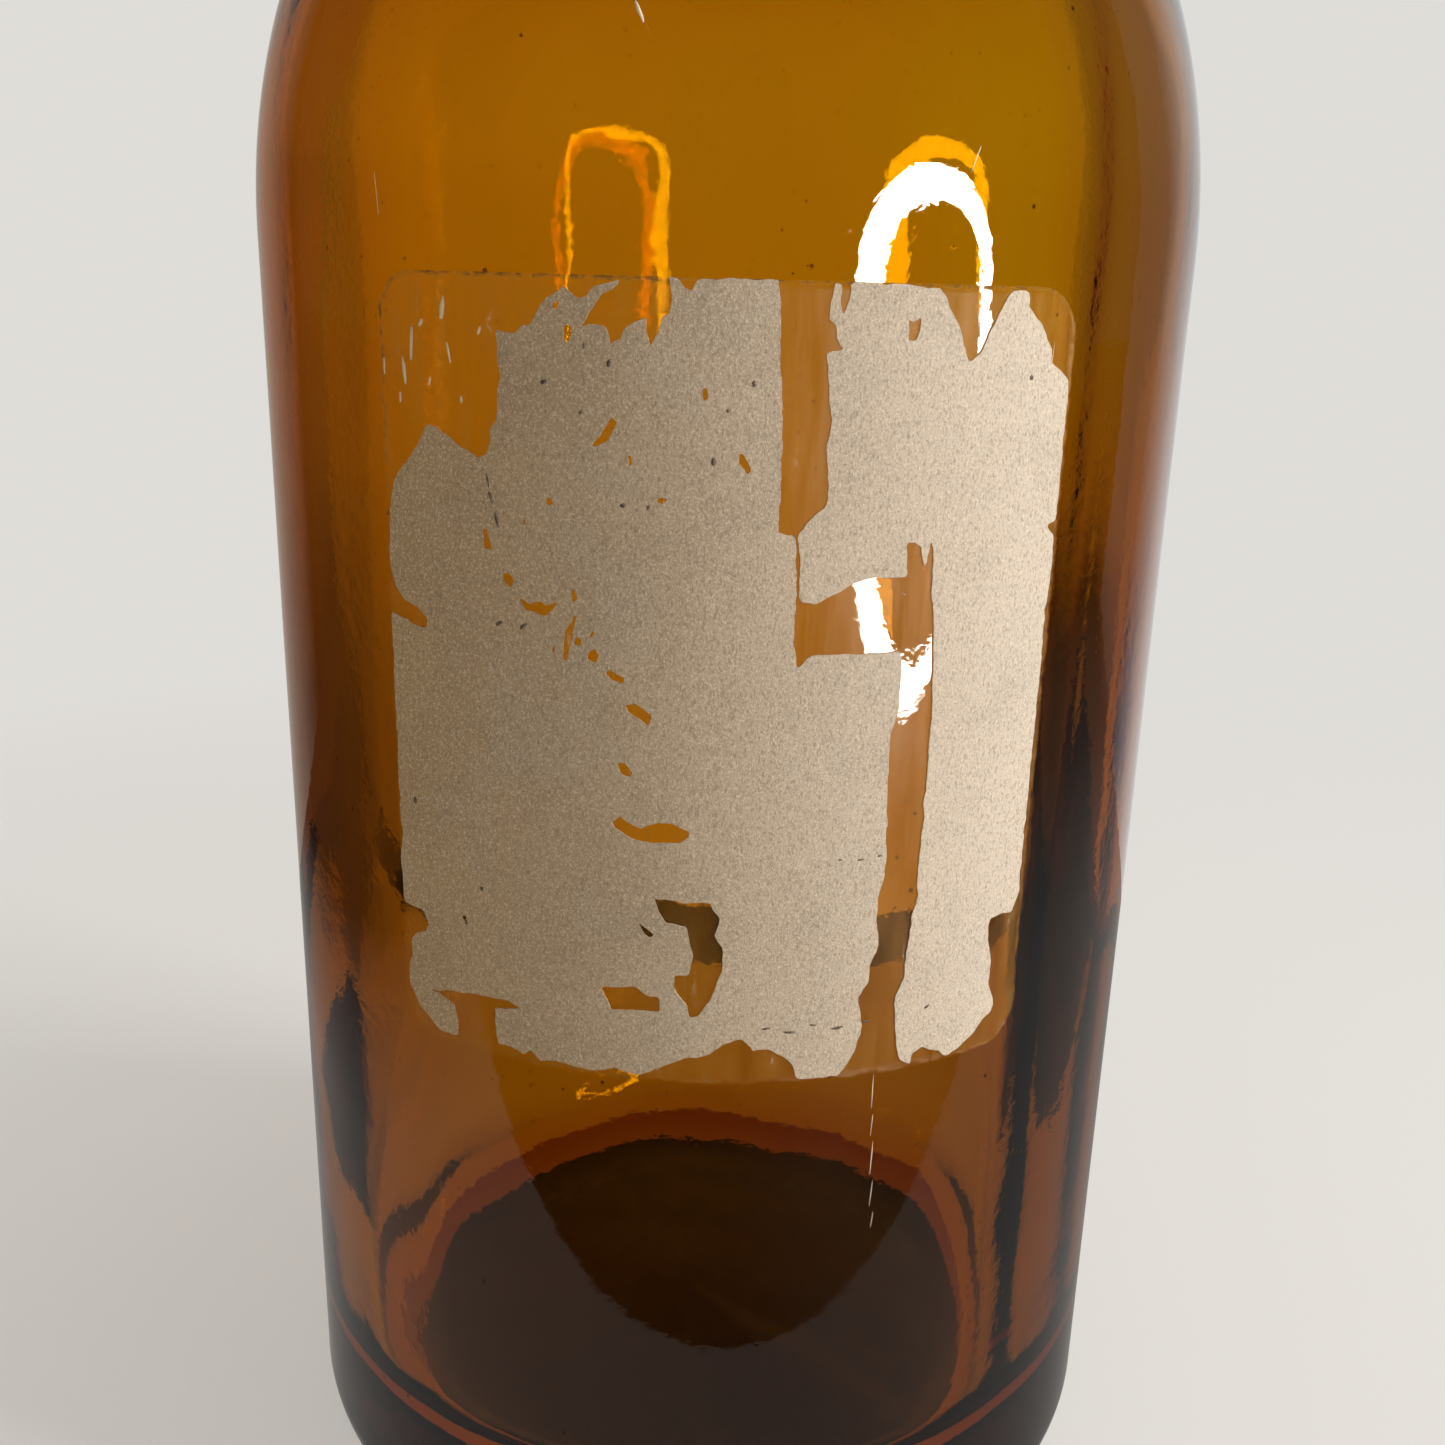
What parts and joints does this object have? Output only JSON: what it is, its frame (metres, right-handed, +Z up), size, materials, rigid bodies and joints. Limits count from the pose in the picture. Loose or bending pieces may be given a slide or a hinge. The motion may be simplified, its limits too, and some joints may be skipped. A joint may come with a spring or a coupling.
{
  "type": "stoppered reagent bottle",
  "caption": "Large round-shouldered amber glass reagent bottle with a ground-glass stopper and the torn, yellowed remains of a blank paper label.",
  "frame": {"origin": "on the body's axis at the surface that the bottle stands on", "axes": "+Z up along the bottle's axis, -Y towards the labelled front, +X to the right when facing it"},
  "size_m": [0.15, 0.1504, 0.353],
  "materials": {
    "amber_glass": "glossy",
    "ground_glass": "ground plug, glossy head",
    "old_paper": "matt, aged"
  },
  "bodies": {
    "bottle": {"bottle": "amber_glass", "label_left": "old_paper", "label_right": "old_paper"},
    "stopper": {"stopper": "ground_glass"}
  },
  "joints": [
    {"name": "stopper_lift", "type": "slide", "parent": "bottle", "child": "stopper", "axis": [0, 0, 1], "range_m": [0, 0.06]}
  ]
}
